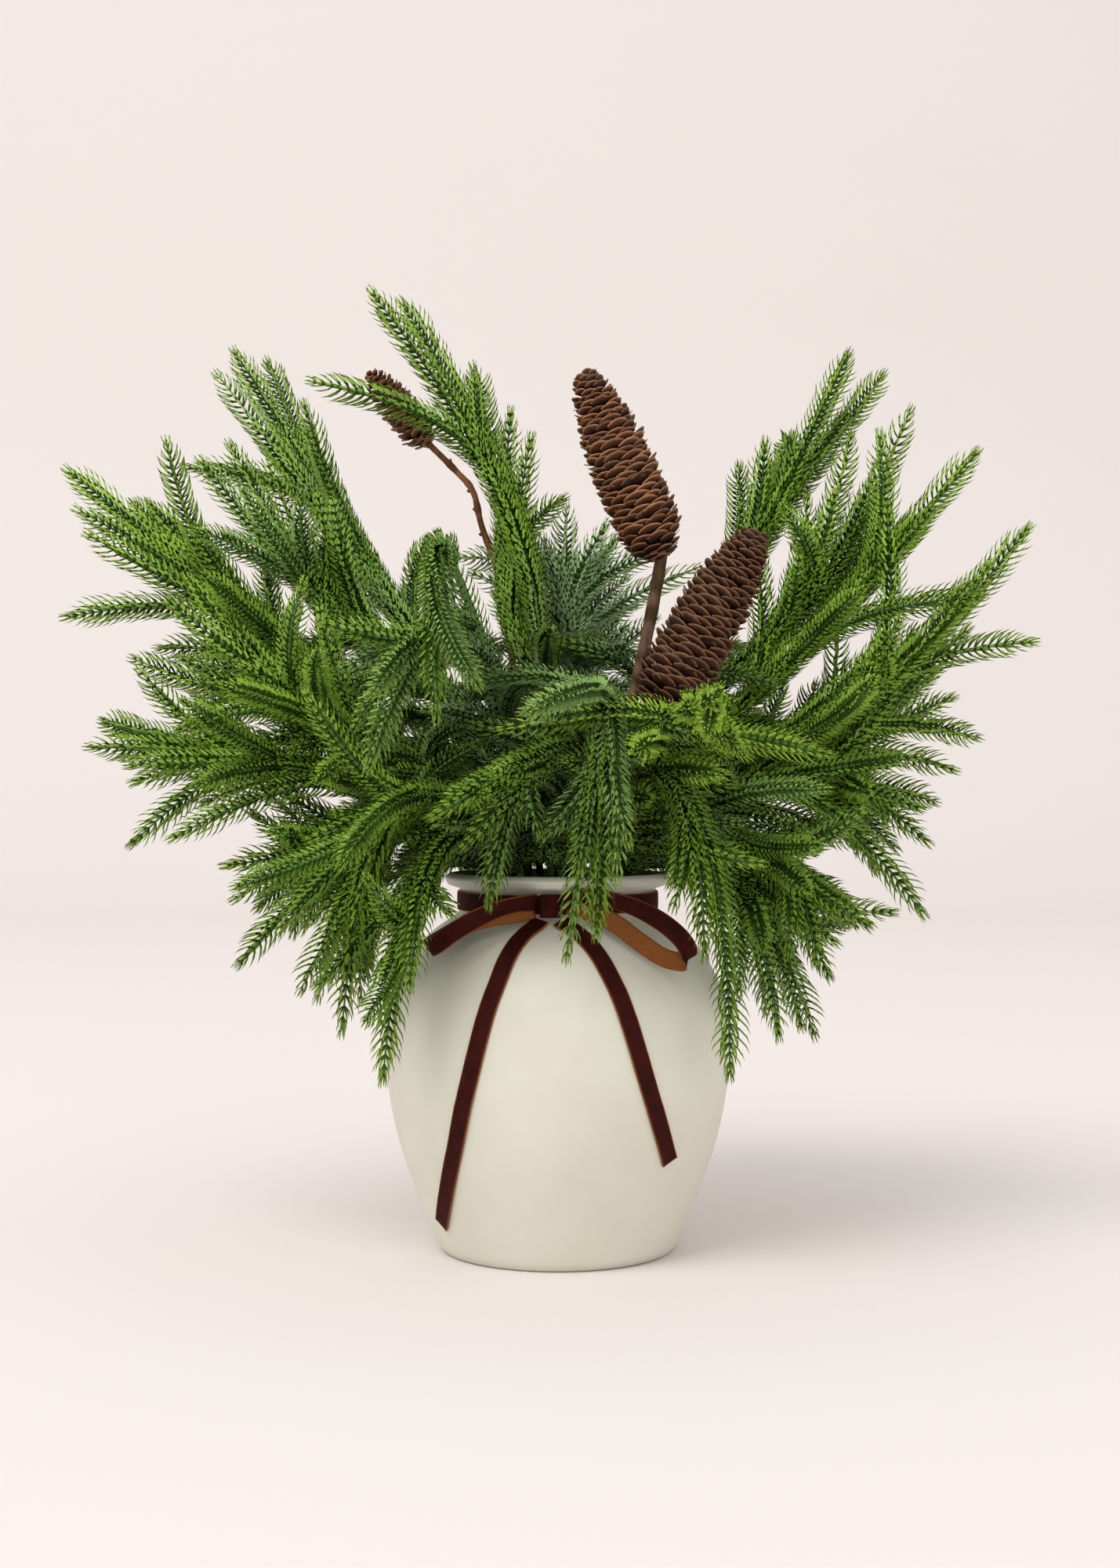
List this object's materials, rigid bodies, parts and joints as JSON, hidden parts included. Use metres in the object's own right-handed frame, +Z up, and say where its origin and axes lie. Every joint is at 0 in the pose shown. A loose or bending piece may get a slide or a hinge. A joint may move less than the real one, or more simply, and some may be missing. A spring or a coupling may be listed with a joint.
{
  "type": "artificial tabletop tree",
  "caption": "Artificial evergreen arrangement with spruce cones on wire stems in a hollow ceramic vase, with a ribbon bow round its neck.",
  "frame": {"origin": "centre of the vase's flat base, on the surface that it stands on", "axes": "+Z up, -Y towards the front, where the bow is tied, +X to the right seen from the front"},
  "size_m": [0.5369, 0.3807, 0.5408],
  "materials": {
    "cream_ceramic": "matte glaze",
    "green_foam": "crushed dry foam",
    "wrapped_wire": "paper-wrapped wire",
    "needle_plastic": "moulded, semi-matte",
    "cone_scale": "dry cone scales",
    "bark": "wrapped and barked twig",
    "velvet": "velvet"
  },
  "bodies": {
    "vase_and_ribbon": {"vase": "cream_ceramic", "foam_block": "green_foam", "ribbon_band": "velvet", "bow_knot": "velvet", "bow_loop_left": "velvet", "bow_loop_right": "velvet", "ribbon_tail_left": "velvet", "ribbon_tail_right": "velvet", "back_left_high_leg": "wrapped_wire", "left_mid_leg": "wrapped_wire", "left_low_leg": "wrapped_wire", "front_left_low_leg": "wrapped_wire", "front_drape_leg": "wrapped_wire", "top_sprig_leg": "wrapped_wire", "front_centre_leg": "wrapped_wire", "front_right_leg": "wrapped_wire", "right_high_leg": "wrapped_wire", "right_mid_leg": "wrapped_wire", "right_low_leg": "wrapped_wire", "back_centre_leg": "wrapped_wire", "back_low_leg": "wrapped_wire", "tall_cone_leg": "bark", "leaning_cone_leg": "bark", "small_cone_leg": "bark"},
    "back_left_high": {"back_left_high_branch_a": "needle_plastic", "back_left_high_branch_b": "needle_plastic"},
    "left_mid": {"left_mid_branch_a": "needle_plastic", "left_mid_branch_b": "needle_plastic"},
    "left_low": {"left_low_branch_a": "needle_plastic", "left_low_branch_b": "needle_plastic"},
    "front_left_low": {"front_left_low_branch_a": "needle_plastic", "front_left_low_branch_b": "needle_plastic"},
    "front_drape": {"front_drape_branch_a": "needle_plastic", "front_drape_branch_b": "needle_plastic"},
    "top_sprig": {"top_sprig_branch_a": "needle_plastic", "top_sprig_branch_b": "needle_plastic"},
    "front_centre": {"front_centre_branch_a": "needle_plastic", "front_centre_branch_b": "needle_plastic"},
    "front_right": {"front_right_branch_a": "needle_plastic", "front_right_branch_b": "needle_plastic"},
    "right_high": {"right_high_branch_a": "needle_plastic", "right_high_branch_b": "needle_plastic"},
    "right_mid": {"right_mid_branch_a": "needle_plastic", "right_mid_branch_b": "needle_plastic", "right_mid_branch_c": "needle_plastic"},
    "right_low": {"right_low_branch_a": "needle_plastic", "right_low_branch_b": "needle_plastic", "right_low_branch_c": "needle_plastic"},
    "back_centre": {"back_centre_branch_a": "needle_plastic", "back_centre_branch_b": "needle_plastic"},
    "back_low": {"back_low_branch_a": "needle_plastic", "back_low_branch_b": "needle_plastic", "back_low_branch_c": "needle_plastic"},
    "tall_cone": {"tall_cone_stem": "bark", "tall_cone": "cone_scale"},
    "leaning_cone": {"leaning_cone_stem": "bark", "leaning_cone": "cone_scale"},
    "small_cone": {"small_cone_stem": "bark", "small_cone": "cone_scale"}
  },
  "joints": [
    {"name": "back_left_high_bend", "type": "hinge", "parent": "vase_and_ribbon", "child": "back_left_high", "pos_m": [-0.026, 0.022, 0.208], "axis": [-0.4633, -0.8862, 0], "range_deg": [-4, 2]},
    {"name": "left_mid_bend", "type": "hinge", "parent": "vase_and_ribbon", "child": "left_mid", "pos_m": [-0.038, 0.004, 0.208], "axis": [-0.0192, -0.9998, 0], "range_deg": [-4, 4]},
    {"name": "left_low_bend", "type": "hinge", "parent": "vase_and_ribbon", "child": "left_low", "pos_m": [-0.035, -0.018, 0.208], "axis": [0.1263, -0.992, 0], "range_deg": [-4, 8]},
    {"name": "front_left_low_bend", "type": "hinge", "parent": "vase_and_ribbon", "child": "front_left_low", "pos_m": [-0.02, -0.034, 0.208], "axis": [0.7355, -0.6775, 0], "range_deg": [-8, 8]},
    {"name": "front_drape_bend", "type": "hinge", "parent": "vase_and_ribbon", "child": "front_drape", "pos_m": [-0.016, -0.014, 0.208], "axis": [0.7944, -0.6074, 0], "range_deg": [-8, 8]},
    {"name": "top_sprig_bend", "type": "hinge", "parent": "vase_and_ribbon", "child": "top_sprig", "pos_m": [-0.004, 0.006, 0.208], "axis": [-0.9285, -0.3714, 0], "range_deg": [-8, 0]},
    {"name": "front_centre_bend", "type": "hinge", "parent": "vase_and_ribbon", "child": "front_centre", "pos_m": [0.002, -0.04, 0.208], "axis": [0.945, 0.3271, 0], "range_deg": [-8, 8]},
    {"name": "front_right_bend", "type": "hinge", "parent": "vase_and_ribbon", "child": "front_right", "pos_m": [0.022, -0.034, 0.208], "axis": [0.8232, 0.5677, 0], "range_deg": [-8, 8]},
    {"name": "right_high_bend", "type": "hinge", "parent": "vase_and_ribbon", "child": "right_high", "pos_m": [0.026, 0.022, 0.208], "axis": [-0.0611, 0.9981, 0], "range_deg": [-8, 0]},
    {"name": "right_mid_bend", "type": "hinge", "parent": "vase_and_ribbon", "child": "right_mid", "pos_m": [0.038, 0.004, 0.208], "axis": [-0.0192, 0.9998, 0], "range_deg": [0, 4]},
    {"name": "right_low_bend", "type": "hinge", "parent": "vase_and_ribbon", "child": "right_low", "pos_m": [0.036, -0.018, 0.208], "axis": [0.0767, 0.9971, 0], "range_deg": [-4, 8]},
    {"name": "back_centre_bend", "type": "hinge", "parent": "vase_and_ribbon", "child": "back_centre", "pos_m": [0.006, 0.024, 0.208], "axis": [-0.9996, -0.0278, 0], "range_deg": [-4, 8]},
    {"name": "back_low_bend", "type": "hinge", "parent": "vase_and_ribbon", "child": "back_low", "pos_m": [0, 0.042, 0.208], "axis": [-1, 0, 0], "range_deg": [-8, 8]},
    {"name": "tall_cone_bend", "type": "hinge", "parent": "vase_and_ribbon", "child": "tall_cone", "pos_m": [0.022, -0.012, 0.208], "axis": [0.2228, 0.9749, 0], "range_deg": [-2, 8]},
    {"name": "leaning_cone_bend", "type": "hinge", "parent": "vase_and_ribbon", "child": "leaning_cone", "pos_m": [0.012, -0.022, 0.208], "axis": [0.6887, 0.725, 0], "range_deg": [-4, 4]},
    {"name": "small_cone_bend", "type": "hinge", "parent": "vase_and_ribbon", "child": "small_cone", "pos_m": [-0.01, 0.03, 0.208], "axis": [-0.4138, -0.9104, 0], "range_deg": [0, 6]}
  ]
}
